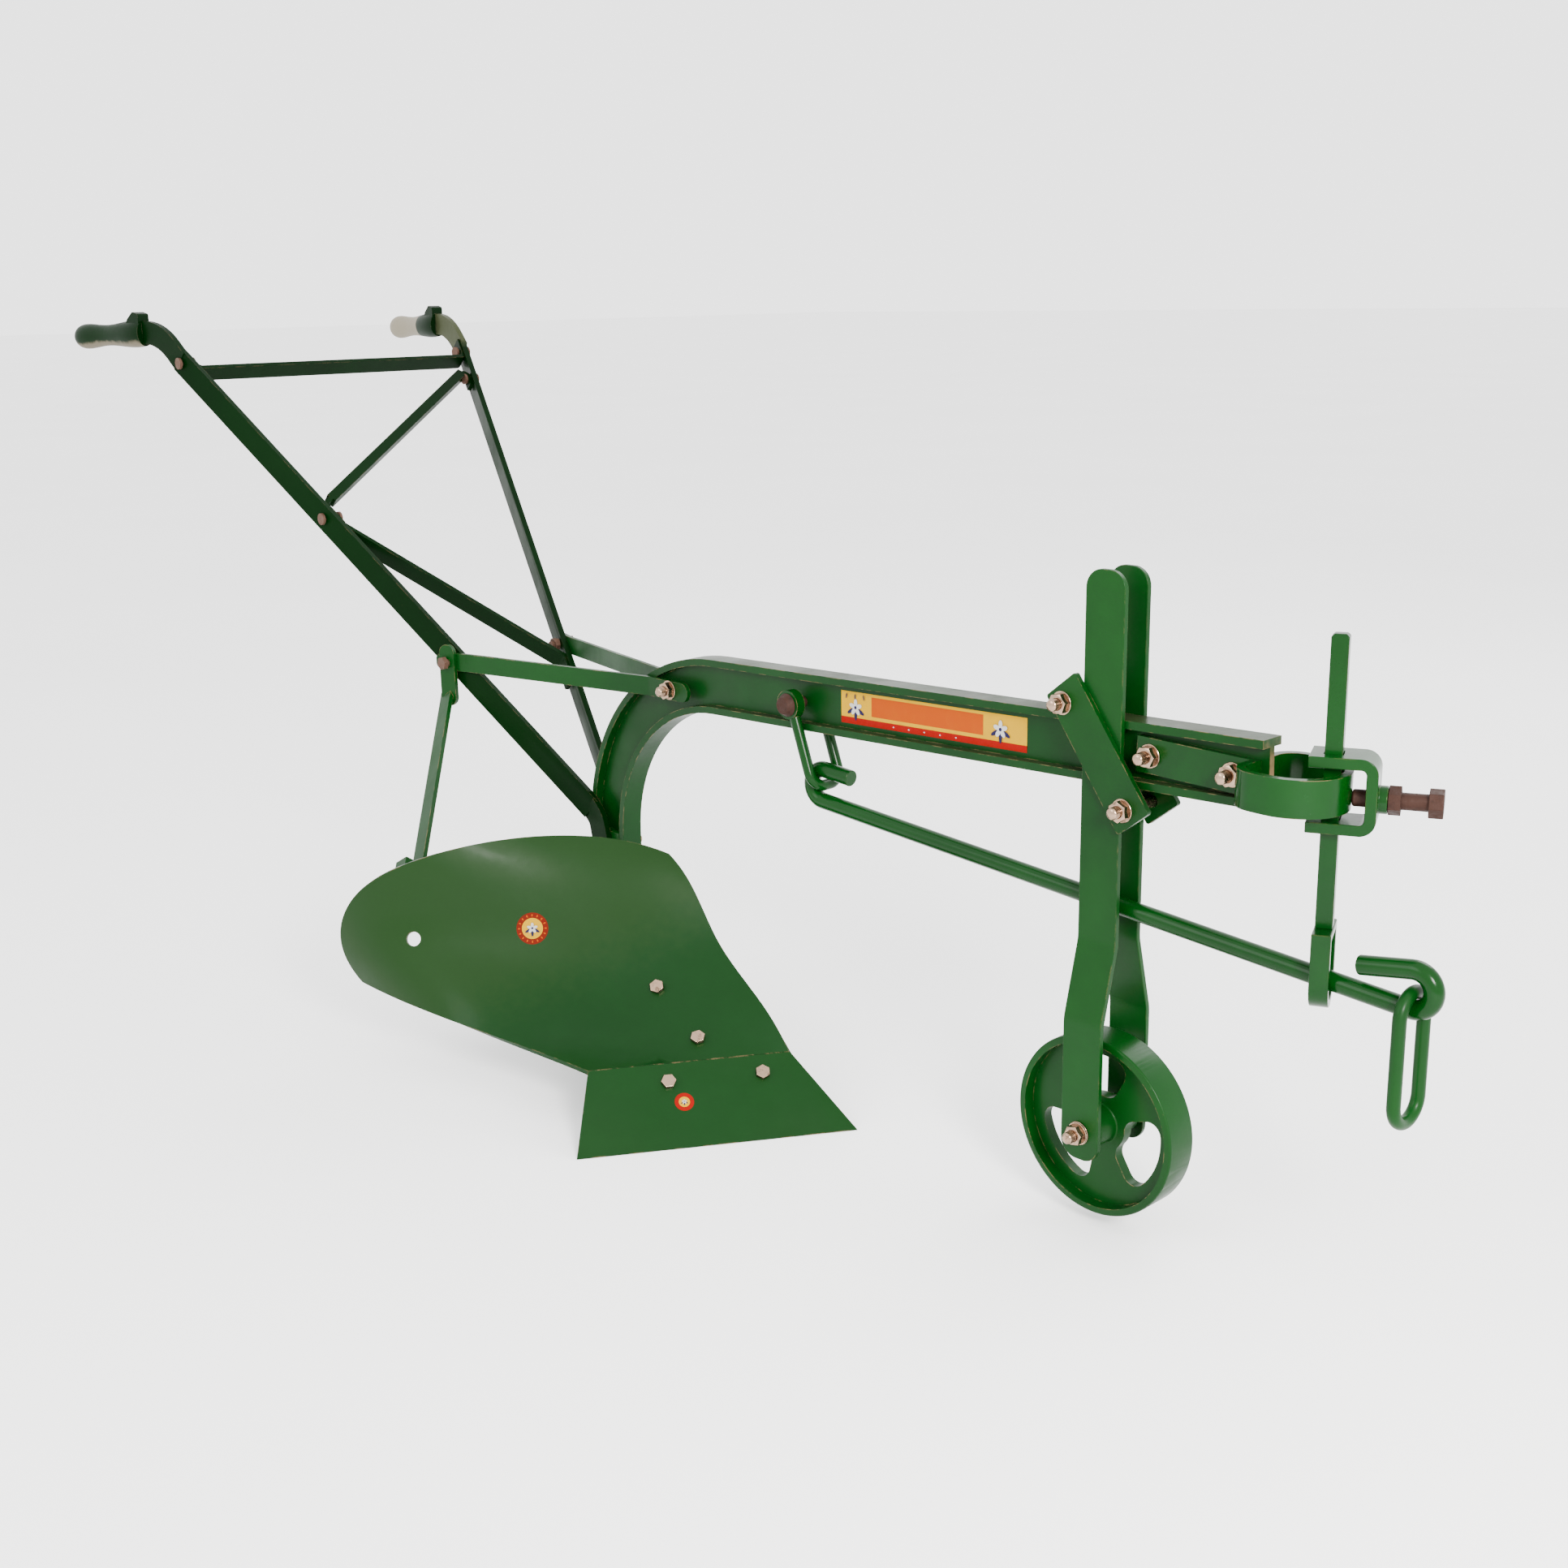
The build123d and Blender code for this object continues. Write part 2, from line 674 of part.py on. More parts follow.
# ---------------------------------------------------------------- hake
strap_rear = 705
hoop_rear = 832
strap_face = half_web + strap_thickness + 0.2
strap_plane = Plane(
    origin=(strap_rear, 0, 520 - strap_height / 2), x_dir=(1, 0, -0.0255), z_dir=(0.0255, 0, 1)
)
with BuildPart() as hake_strap:
    with BuildSketch(strap_plane):
        for half, mode in ((hoop_radius, Mode.ADD), (hoop_radius - strap_thickness, Mode.SUBTRACT)):
            middle, rear = hoop_x - strap_rear, hoop_rear - strap_rear + hoop_radius - half
            with BuildLine():
                corners = [(middle, half), (rear, half), (rear, -half), (middle, -half)]
                FilletPolyline(*corners, radius=half - hoop_radius + 27)
                CenterArc((middle, 0), half, -90, 180)
            make_face(mode=mode)
        with Locations(((hoop_rear + 4 - strap_rear) / 2, 0)):
            Rectangle(hoop_rear + 4 - strap_rear, 2 * strap_face - 0.2)
        with Locations((60, 0)):
            Rectangle(200, 2 * half_web + 0.2, mode=Mode.SUBTRACT)
    extrude(amount=strap_height)
    for x, z in strap_bolts:
        hole_y(x, z, M12)
save(hake_strap.part, "hake_strap")

with BuildPart() as strap_bolt_set:
    for index, (x, z) in enumerate(strap_bolts):
        bolt_y(x, z, strap_face, -strap_face - 20, M12, 20 + 13 * index)
save(strap_bolt_set.part, "hake_strap_bolts")
with BuildPart() as strap_nuts:
    for index, (x, z) in enumerate(strap_bolts):
        nut_y(x, z, -strap_face, -1, M12, 5 + 17 * index)
save(strap_nuts.part, "hake_strap_nuts")

clamp_low, clamp_high = 477, 549
clamp_rear, clamp_front = 14, 76
clamp_thickness = 10.5
clamp_half_width = 22
boss_length = 8
screw_z = 508
slot = hake_bar_size + 2 * 0.4
bar_face = ((hoop_radius - strap_thickness - 0.5) ** 2 - (hake_bar_size / 2) ** 2) ** 0.5
bar_out = bar_face - hake_bar_size / 2

# The clamp's own frame: x points out from the hoop's middle, and z up
outwards = Vector(cos(radians(hake_turn)), sin(radians(hake_turn)), 0)
sideways = Vector(-outwards.Y, outwards.X, 0)


def clamp_level(z, out=0):
    """A level plane in the clamp's frame."""
    return Plane(origin=Vector(hoop_x, 0, z) + outwards * out, x_dir=outwards, z_dir=(0, 0, 1))


def clamp_cross(out, z=0):
    """A plane across the clamp, this far out from the hoop's middle. Its x is level and its y is up."""
    return Plane(origin=Vector(hoop_x, 0, z) + outwards * out, x_dir=sideways, z_dir=outwards)


with BuildPart() as hake_clamp:
    middle = clamp_thickness / 2
    bent_strap(
        Plane(origin=(hoop_x, 0, 0), x_dir=outwards, z_dir=-sideways),
        [
            (clamp_rear, clamp_high - middle),
            (clamp_front - middle, clamp_high - middle),
            (clamp_front - middle, clamp_low + middle),
            (clamp_rear, clamp_low + middle),
        ],
        10,
        clamp_thickness,
        2 * clamp_half_width,
    )
    with BuildSketch(clamp_cross(clamp_front - 2, screw_z)):
        Circle(13)
    extrude(amount=boss_length + 2)
    with BuildSketch(clamp_level(clamp_low - 5, bar_out)):
        Rectangle(slot, slot)
    extrude(amount=90, mode=Mode.SUBTRACT)
    with BuildSketch(clamp_cross(clamp_front - 30, screw_z)):
        Circle(M16[0] + 0.05)
    extrude(amount=60, mode=Mode.SUBTRACT)
save(hake_clamp.part, "hake_clamp")

screw_tip = hoop_radius + 0.4
screw_head = 119
with BuildPart() as set_screw:
    with BuildSketch(clamp_cross(screw_tip, screw_z)):
        Circle(M16[0])
    extrude(amount=screw_head - screw_tip)
    with BuildSketch(clamp_cross(screw_head, screw_z)):
        RegularPolygon(M16[1] / 2, 6, major_radius=False, rotation=10)
    extrude(amount=13)
    chamfer(set_screw.faces().sort_by(Axis(origin=(0, 0, 0), direction=outwards))[0].edges(), 1.5)
save(set_screw.part, "set_screw")
with BuildPart() as lock_nut:
    with BuildSketch(clamp_cross(clamp_front + boss_length + 0.3, screw_z)):
        RegularPolygon(M16[1] / 2, 6, major_radius=False, rotation=25)
        Circle(M16[0] + 0.05, mode=Mode.SUBTRACT)
    extrude(amount=11)
save(lock_nut.part, "set_screw_lock_nut")

with BuildPart() as hake_bar:
    with BuildSketch(clamp_level(guide_top, bar_out)):
        Rectangle(hake_bar_size, hake_bar_size)
    extrude(amount=hake_bar_top - guide_top)
    chamfer(hake_bar.faces().sort_by(Axis.Z)[-1].edges(), 2.5)
save(hake_bar.part, "hake_bar")

guide_length = 18
guide_outer, guide_inner = 27, 19.5
guide_bottom = guide_top - guide_height
wall = guide_outer - guide_inner
with BuildPart() as rod_guide:
    for half, low, high, mode in (
        (guide_outer, guide_bottom, guide_top, Mode.ADD),
        (guide_inner, guide_bottom + wall, guide_top - wall, Mode.SUBTRACT),
    ):
        with BuildSketch(clamp_cross(bar_out - guide_length / 2)):
            with Locations((0, low + half)):
                Circle(half)
            with BuildLine():
                Polyline((-half, low + half), (half, low + half), (half, high), (-half, high), close=True)
            make_face()
        extrude(amount=guide_length, mode=mode)
save(rod_guide.part, "rod_guide")

# ---------------------------------------------------------------- draw rod, shackle and link
rod_plane = upright_plane(rod_hook, rod_front)
rod_run = hypot(rod_front.X - rod_hook.X, rod_front.Y - rod_hook.Y)
with BuildPart() as draw_rod:
    with BuildLine(rod_plane) as route:
        shank = Line((-1, rod_hook.Z - eye_radius), (rod_run - 1, rod_front.Z - eye_radius))
        front_turn = JernArc(start=shank @ 1, tangent=shank % 1, radius=eye_radius, arc_size=180 + 14)
        Line(front_turn @ 1, (front_turn @ 1) + (front_turn % 1) * 52)
        rear_turn = JernArc(start=shank @ 0, tangent=(shank % 0) * -1, radius=eye_radius, arc_size=-180)
        Line(rear_turn @ 1, (rear_turn @ 1) + (rear_turn % 1) * 42)
    path = route.wires()[0]
    with BuildSketch(Plane(origin=path @ 0, z_dir=path % 0)) as section:
        Circle(rod_diameter / 2)
    sweep(section.sketch, path=path)
save(draw_rod.part, "draw_rod")

shackle_half = 22.5
with BuildPart() as shackle:
    shackle_down = (Vector(rod_hook.X, 0, rod_hook.Z) - Vector(shackle_pin_x, 0, shackle_pin_z)).normalized()
    bow_normal = Vector(0, 1, 0).cross(-shackle_down)
    bow = Plane(origin=(shackle_pin_x, 0, shackle_pin_z), x_dir=(0, 1, 0), z_dir=bow_normal)
    drop = hypot(rod_hook.X - shackle_pin_x, rod_hook.Z - shackle_pin_z)
    with BuildLine(bow) as route:
        corners = [(-shackle_half, -drop), (shackle_half, -drop)]
        FilletPolyline((-shackle_half, -12), *corners, (shackle_half, -12), radius=18)
    path = route.wires()[0]
    with BuildSketch(Plane(origin=path @ 0, z_dir=path % 0)) as section:
        Circle(shackle_bar / 2)
    sweep(section.sketch, path=path)
    for side in (1, -1):
        bar_y(shackle_pin_x, shackle_pin_z, side * (shackle_half - 5), side * (shackle_half + 7.2), 17)
    bar_y(shackle_pin_x, shackle_pin_z, -60, 60, M12[0] + 0.05 + 1, Mode.SUBTRACT)
save(shackle.part, "shackle")

with BuildPart() as shackle_pin:
    pin_face = shackle_half + 7.6
    bar_y(shackle_pin_x, shackle_pin_z, -pin_face, pin_face + 12, M12[0])
    with BuildSketch(across(shackle_pin_x, shackle_pin_z, -pin_face)):
        Circle(14)
    extrude(amount=8, taper=30)
save(shackle_pin.part, "shackle_pin")
with BuildPart() as shackle_nut:
    nut_y(shackle_pin_x, shackle_pin_z, pin_face, 1, M12)
save(shackle_nut.part, "shackle_pin_nut")

link_top = rod_front.Z - 2.6
with BuildPart() as draw_link:
    with BuildLine(Plane(origin=(rod_front.X, rod_front.Y, 0), x_dir=(0, 1, 0), z_dir=(1, 0, 0))) as route:
        low = link_bottom + link_bar / 2 + link_half_width
        high = link_top - link_half_width
        Line((link_half_width, low), (link_half_width, high))
        CenterArc((0, high), link_half_width, 0, 180)
        Line((-link_half_width, high), (-link_half_width, low))
        CenterArc((0, low), link_half_width, 180, 180)
    path = route.wires()[0]
    with BuildSketch(Plane(origin=path @ 0, z_dir=path % 0)) as section:
        Circle(link_bar / 2)
    sweep(section.sketch, path=path)
save(draw_link.part, "draw_link")

# ---------------------------------------------------------------- grips
grip_sections = ((-6, 13, 18), (6, 15, 19), (60, 13, 16), (120, 14, 17), (152, 13, 16), (164, 7, 9))


def grip(side):
    """A cast grip that takes the handle's tang, with a thumb stop at its front."""
    top, end = mirrored(grip_fold, side), mirrored(grip_end, side)
    plane = upright_plane(top, end)
    run = hypot(end.X - top.X, end.Y - top.Y)
    ratio = run / (top.X - end.X)
    shoulder = (top.X - tang_start) * ratio
    height = main_z(grip_corner_x) - 2
    with BuildPart() as body:
        sections = []
        for distance, half_wide, half_high in grip_sections:
            at = plane.from_local_coords(Vector(shoulder + distance, height - distance * 0.03, 0))
            with BuildSketch(Plane(origin=at, x_dir=plane.z_dir, z_dir=plane.x_dir)) as section:
                Ellipse(half_wide, half_high)
            sections.append(section.sketch.faces()[0])
        loft(sections)
        with BuildSketch(plane) as section:
            with BuildLine():
                Polyline(
                    (shoulder - 5, height + 8),
                    (shoulder + 30, height + 8),
                    (shoulder + 22, height + 20),
                    (shoulder + 8, height + 30),
                    (shoulder - 5, height + 27),
                    close=True,
                )
            make_face()
            fillet(section.vertices().sort_by(Axis.Y)[-2:], 3)
        extrude(section.sketch, amount=9, both=True)
        with BuildSketch(plane) as section:
            with Locations((shoulder + 26, height)):
                Rectangle(80, tang_width + 0.4)
        extrude(section.sketch, amount=handle_thickness / 2 + 0.2, both=True, mode=Mode.SUBTRACT)
        add([right_handle, left_handle], mode=Mode.SUBTRACT)
    return body.part


save(grip(-1), "right_grip")
save(grip(1), "left_grip")

# ---------------------------------------------------------------- fasteners of the frame
handle_face = handle_fold.Y + handle_thickness / 2 * 1.06 + 0.3
with BuildPart() as foot_bolt_set:
    for x, z in foot_bolts:
        bolt_y(x, z, -handle_face, handle_face + 16, M12, 10)
save(foot_bolt_set.part, "handle_foot_bolts")
with BuildPart() as foot_nuts:
    for x, z in foot_bolts:
        nut_y(x, z, handle_face, 1, M12, 25)
save(foot_nuts.part, "handle_foot_nuts")

with BuildPart() as frog_bolt_piece:
    bolt_y(*frog_bolt, -half_flange - 0.1, half_web + 16, M12, 5)
save(frog_bolt_piece.part, "frog_bolt")
with BuildPart() as frog_nut:
    nut_y(*frog_bolt, half_web + 0.1, 1, M12)
save(frog_nut.part, "frog_nut")

sole_bolts = [(*landside_bolts[0], landside_left), (*landside_bolts[1], landside_left), (*heel_bolt, 14)]
with BuildPart() as landside_bolt_set:
    for x, z, face in sole_bolts:
        bar_y(x, z, face + 0.1, frog_right - 12, M10[0])
        bar_y(x, z, face + 0.1, face + 3.5, 9)
save(landside_bolt_set.part, "landside_bolts")
with BuildPart() as landside_nuts:
    for x, z, face in sole_bolts:
        nut_y(x, z, frog_right - 0.1, -1, M10, 12)
save(landside_nuts.part, "landside_nuts")

stay_face = half_flange + stay_thickness + 0.2
with BuildPart() as stay_bolt_piece:
    bolt_y(*stay_bolt, stay_face, -stay_face - 17, M12, 8)
save(stay_bolt_piece.part, "beam_stay_bolt")
with BuildPart() as stay_nut:
    nut_y(*stay_bolt, -stay_face, -1, M12, 20)
save(stay_nut.part, "beam_stay_nut")

inside_face = main_y(handle_stay_bolt[0]) - handle_thickness / 2 * 1.06 - 2.2
with BuildPart() as handle_stay_bolts:
    for side, layers in ((-1, 2), (1, 1)):
        outside = stay_out + layers * (stay_thickness * 1.06 + 0.3) + 1.6
        bolt_y(*handle_stay_bolt, side * outside, side * (inside_face - 12), M10, 14)
    add([left_beam_stay, mouldboard_stay.part], mode=Mode.SUBTRACT)
save(handle_stay_bolts.part, "handle_stay_bolts")
with BuildPart() as handle_stay_nuts:
    for side in (1, -1):
        nut_y(*handle_stay_bolt, side * inside_face, -side, M10)
    add([left_handle, right_handle], mode=Mode.SUBTRACT)
save(handle_stay_nuts.part, "handle_stay_nuts")


def bolt_through(plane, grip_length, size, turn=0):
    """A hexagon bolt whose head stands on a plane, and its shank down through a stack of this thickness."""
    with BuildSketch(plane.offset(0.1)) as section:
        RegularPolygon(size[1] / 2, 6, major_radius=False, rotation=turn)
    extrude(section.sketch, amount=size[0] * 1.1)
    with BuildSketch(plane.offset(0.2)) as section:
        Circle(size[0])
    extrude(section.sketch, amount=-grip_length - size[0] * 2.4)


def nut_through(plane, grip_length, size, turn=0):
    """The nut on the far side of the same stack."""
    with BuildSketch(plane.offset(-grip_length - 0.1)) as section:
        RegularPolygon(size[1] / 2, 6, major_radius=False, rotation=turn)
        Circle(size[0] + 0.05, mode=Mode.SUBTRACT)
    extrude(section.sketch, amount=-size[0] * 1.6)


share_bolt_planes = [
    share_face.shift_origin(share_face.from_local_coords(Vector(x, y, 0))) for x, y in share_bolts
]
share_grip = share_thickness + seat_thickness
with BuildPart() as share_bolt_set:
    for index, plane in enumerate(share_bolt_planes):
        bolt_through(plane, share_grip, M10, 25 * index)
save(share_bolt_set.part, "share_bolts")
with BuildPart() as share_nuts:
    for plane in share_bolt_planes:
        nut_through(plane, share_grip, M10)
save(share_nuts.part, "share_nuts")

board_grips = (33, 38)
with BuildPart() as board_bolt_set:
    for index, plane in enumerate(board_bolt_planes):
        bolt_through(plane.offset(0.7), board_grips[index] + 0.7, M10, 10 + 20 * index)
save(board_bolt_set.part, "mouldboard_bolts")

with BuildPart() as stay_foot_bolt:
    with BuildSketch(stay_foot_plane.offset(-stay_foot_face)):
        RegularPolygon(M8[1] / 2, 6, major_radius=False)
    extrude(amount=-M8[0] * 1.25)
    with BuildSketch(stay_foot_plane.offset(-stay_foot_face)):
        Circle(M8[0])
    extrude(amount=stay_foot_face + 11)
save(stay_foot_bolt.part, "stay_foot_bolt")
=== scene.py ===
import json
import math

import bmesh
import bpy
from mathutils import Matrix, Vector
from mathutils.bvhtree import BVHTree


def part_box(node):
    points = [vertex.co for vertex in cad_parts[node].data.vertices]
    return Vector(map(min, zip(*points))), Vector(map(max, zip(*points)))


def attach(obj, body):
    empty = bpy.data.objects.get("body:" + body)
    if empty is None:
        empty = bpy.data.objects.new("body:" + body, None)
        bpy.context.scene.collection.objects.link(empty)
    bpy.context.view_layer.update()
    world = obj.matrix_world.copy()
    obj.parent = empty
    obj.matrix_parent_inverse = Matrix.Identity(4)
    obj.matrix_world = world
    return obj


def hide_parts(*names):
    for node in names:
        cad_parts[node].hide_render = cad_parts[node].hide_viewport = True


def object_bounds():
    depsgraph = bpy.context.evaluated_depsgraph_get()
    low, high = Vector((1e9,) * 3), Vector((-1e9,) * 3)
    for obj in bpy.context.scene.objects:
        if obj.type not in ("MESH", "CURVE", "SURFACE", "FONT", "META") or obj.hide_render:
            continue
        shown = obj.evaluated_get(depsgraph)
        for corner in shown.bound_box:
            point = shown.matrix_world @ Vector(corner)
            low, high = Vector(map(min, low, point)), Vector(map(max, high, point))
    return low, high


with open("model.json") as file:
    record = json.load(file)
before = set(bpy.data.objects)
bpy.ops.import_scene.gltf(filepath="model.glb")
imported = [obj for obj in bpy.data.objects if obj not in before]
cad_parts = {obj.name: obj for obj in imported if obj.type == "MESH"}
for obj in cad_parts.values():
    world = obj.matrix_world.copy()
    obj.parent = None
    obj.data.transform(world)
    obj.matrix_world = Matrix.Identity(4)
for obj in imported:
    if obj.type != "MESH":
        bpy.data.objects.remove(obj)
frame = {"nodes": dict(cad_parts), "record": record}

cad_low, cad_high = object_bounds()
NODES = frame["nodes"]


# ---------------------------------------------------------------- node helpers
class Nodes:
    """A material under construction, with short names for the nodes used most."""

    def __init__(self, name):
        self.material = bpy.data.materials.new(name)
        self.material.use_nodes = True
        self.tree = self.material.node_tree
        self.tree.nodes.clear()
        self.out = self.add("ShaderNodeOutputMaterial")
        self.shader = self.add("ShaderNodeBsdfPrincipled")
        self.link(self.shader.outputs["BSDF"], self.out.inputs["Surface"])
        self.coords = self.add("ShaderNodeTexCoord").outputs["Object"]

    def add(self, kind, **values):
        node = self.tree.nodes.new(kind)
        for key, value in values.items():
            setattr(node, key, value)
        return node

    def link(self, a, b):
        self.tree.links.new(a, b)

    def noise(self, scale, detail=4.0, rough=0.55, stretch=None, distort=0.0):
        node = self.add("ShaderNodeTexNoise")
        node.inputs["Scale"].default_value = scale
        node.inputs["Detail"].default_value = detail
        node.inputs["Roughness"].default_value = rough
        node.inputs["Distortion"].default_value = distort
        source = self.coords
        if stretch:
            mapping = self.add("ShaderNodeMapping")
            mapping.inputs["Scale"].default_value = stretch
            self.link(source, mapping.inputs["Vector"])
            source = mapping.outputs["Vector"]
        self.link(source, node.inputs["Vector"])
        return node.outputs["Fac"]

    def ramp(self, value, low, high, to_low=0.0, to_high=1.0):
        node = self.add("ShaderNodeMapRange", clamp=True)
        node.interpolation_type = "SMOOTHSTEP"
        for key, number in (("From Min", low), ("From Max", high), ("To Min", to_low), ("To Max", to_high)):
            node.inputs[key].default_value = number
        self.link(value, node.inputs["Value"])
        return node.outputs["Result"]

    def mix(self, factor, a, b):
        node = self.add("ShaderNodeMix", data_type="RGBA")
        for socket, value in ((node.inputs[0], factor), (node.inputs[6], a), (node.inputs[7], b)):
            if hasattr(value, "is_output"):
                self.link(value, socket)
            elif isinstance(value, tuple):
                socket.default_value = (*value[:3], 1.0)
            else:
                socket.default_value = value
        return node.outputs[2]

    def math(self, operation, a, b=None):
        node = self.add("ShaderNodeMath", operation=operation)
        for socket, value in zip(node.inputs, (a, b)):
            if value is None:
                continue
            if hasattr(value, "is_output"):
                self.link(value, socket)
            else:
                socket.default_value = value
        return node.outputs[0]

    def bump(self, height, distance, strength=1.0, after=None):
        node = self.add("ShaderNodeBump")
        node.inputs["Strength"].default_value = strength
        node.inputs["Distance"].default_value = distance
        self.link(height, node.inputs["Height"])
        if after is not None:
            self.link(after, node.inputs["Normal"])
        return node.outputs["Normal"]

    def edges(self, radius):
        """1 on sharp edges and 0 on flat places, from how far a rounded normal turns from the true one."""
        bevel = self.add("ShaderNodeBevel", samples=4)
        bevel.inputs["Radius"].default_value = radius
        true_normal = self.add("ShaderNodeNewGeometry").outputs["Normal"]
        dot = self.add("ShaderNodeVectorMath", operation="DOT_PRODUCT")
        self.link(bevel.outputs["Normal"], dot.inputs[0])
        self.link(true_normal, dot.inputs[1])
        return self.ramp(dot.outputs["Value"], 0.80, 0.985, 1.0, 0.0)

    def set(self, **values):
        for key, value in values.items():
            self.shader.inputs[key.replace("_", " ")].default_value = value

    def facing_up(self):
        """How far a face looks up: 1 for level tops, 0 for upright sides and -1 for undersides."""
        parts = self.add("ShaderNodeSeparateXYZ")
        self.link(self.add("ShaderNodeNewGeometry").outputs["Normal"], parts.inputs["Vector"])
        return parts.outputs["Z"]

    def step(self, value, edge, soft):
        """0 below an edge and 1 above it, over a short soft band."""
        return self.ramp(value, edge - soft, edge + soft)


BARE = (0.20, 0.125, 0.065)
DARK, DARKER = (0.0001, 0.0092, 0.0006), (0.0001, 0.0060, 0.0004)


def paint(
    name, colour, shade, rough=(0.30, 0.50), wear=0.5, ripple=0.0004, worn=BARE,
    show=None, gloss=0.11, painted_top_light=None, painted_light=None,
):
    """Brushed enamel on steel: tone drifts, small runs and pits, and thin bare lines on the edges.

    show, when given, takes the material and returns where the steel shows through the enamel;
    painted_top_light is the colour painted in patches on faces that look up as painted top light,
    and painted_light a lighter tone of painted light on the enamel, as a colour and where it is.
    """
    n = Nodes(name)
    drift = n.ramp(n.noise(3.2, 3.0), 0.32, 0.68)
    blotch = n.ramp(n.noise(22.0, 5.0, 0.6), 0.42, 0.74)
    base = n.mix(drift, shade, colour)
    base = n.mix(n.math("MULTIPLY", blotch, 0.25), base, tuple(c * 1.3 + 0.0008 for c in colour))
    speck = n.ramp(n.noise(240.0, 2.0, 0.5), 0.70, 0.76)
    base = n.mix(n.math("MULTIPLY", speck, 0.25), base, (0.010, 0.014, 0.006))
    # Painted light: a lighter tone laid over the part of the enamel where the light falls.
    if painted_light:
        base = n.mix(painted_light[1](n), base, painted_light[0])
    # Painted top light: faces that look up are made lighter in patches, standing in for the light that falls
    # on them.
    if painted_top_light:
        patchy = n.ramp(n.noise(14.0, 5.0), 0.25, 0.65, 0.35, 0.95)
        base = n.mix(n.math("MULTIPLY", n.step(n.facing_up(), 0.88, 0.08), patchy), base, painted_top_light)
    broken = n.ramp(n.noise(55.0, 5.0, 0.7), 0.47, 0.60)
    chips = n.math("MULTIPLY", n.math("MULTIPLY", n.edges(0.0014), broken), wear)
    if show:
        chips = n.math("MAXIMUM", chips, show(n))
    base = n.mix(chips, base, worn)
    n.link(base, n.shader.inputs["Base Color"])
    smudge = n.ramp(n.noise(9.0, 6.0, 0.65), 0.3, 0.75, rough[0], rough[1])
    n.link(n.math("ADD", smudge, n.math("MULTIPLY", chips, 0.1)), n.shader.inputs["Roughness"])
    n.link(n.math("MULTIPLY", chips, 0.4), n.shader.inputs["Metallic"])
    normal = n.bump(n.noise(38.0, 2.0, 0.4), ripple, 0.5)
    normal = n.bump(n.noise(420.0, 3.0, 0.5), 0.00010, 0.45, normal)
    n.link(normal, n.shader.inputs["Normal"])
    n.set(IOR=1.45, Specular_IOR_Level=gloss, Coat_Weight=gloss * 0.3, Coat_Roughness=0.15)
    return n.material


def metal(name, colour, tarnish, rough, metallic=1.0, spots=0.5, pit=0.0002):
    """Plated or bare steel with tarnish in patches and fine tool marks."""
    n = Nodes(name)
    patch = n.ramp(n.noise(90.0, 5.0, 0.65), 0.50, 0.72)
    base = n.mix(n.math("MULTIPLY", patch, spots), colour, tarnish)
    n.link(base, n.shader.inputs["Base Color"])
    n.link(n.ramp(n.noise(150.0, 4.0, 0.6), 0.3, 0.75, rough[0], rough[1]), n.shader.inputs["Roughness"])
    normal = n.bump(n.noise(260.0, 4.0, 0.6), pit, 0.6)
    normal = n.bump(n.noise(900.0, 2.0, 0.5, stretch=(1.0, 0.15, 1.0)), 0.00006, 0.5, normal)
    n.link(normal, n.shader.inputs["Normal"])
    n.set(Metallic=metallic, Specular_IOR_Level=0.12 if metallic < 0.5 else 0.5)
    return n.material


def printed(name, colour, fade):
    """Printed vinyl: flat ink, a little faded and scuffed."""
    n = Nodes(name)
    worn = n.ramp(n.noise(60.0, 5.0, 0.65), 0.45, 0.75)
    n.link(n.mix(n.math("MULTIPLY", worn, 0.5), colour, fade), n.shader.inputs["Base Color"])
    n.link(n.ramp(n.noise(120.0, 3.0), 0.3, 0.7, 0.35, 0.55), n.shader.inputs["Roughness"])
    n.link(n.bump(n.noise(300.0, 3.0, 0.5), 0.00005, 0.4), n.shader.inputs["Normal"])
    n.set(Specular_IOR_Level=0.04)
    return n.material


def beyond(node, place, heading, soft=0.002):
    """Where a node lies past a plane, its place and heading given in the scene's frame."""

    def mask(n):
        inverse = NODES[node].matrix_world.inverted()
        origin, aim = inverse @ Vector(place), (inverse.to_3x3() @ Vector(heading)).normalized()
        dot = n.add("ShaderNodeVectorMath", operation="DOT_PRODUCT")
        n.link(n.coords, dot.inputs[0])
        dot.inputs[1].default_value = aim
        wander = n.math("MULTIPLY", n.math("SUBTRACT", n.noise(90.0, 4.0), 0.5), soft * 1.5)
        past = n.math("SUBTRACT", dot.outputs["Value"], origin.dot(aim))
        return n.step(n.math("ADD", past, wander), 0.0, soft)

    return mask


def worn_underside(n):
    """Bare metal where hands and the ground rub: places that face down, broken up by noise."""
    down = n.math("SUBTRACT", n.math("MULTIPLY", n.noise(30.0, 5.0, 0.65), 0.9), n.facing_up())
    return n.math("MULTIPLY", n.step(down, 0.95, 0.18), 0.85)


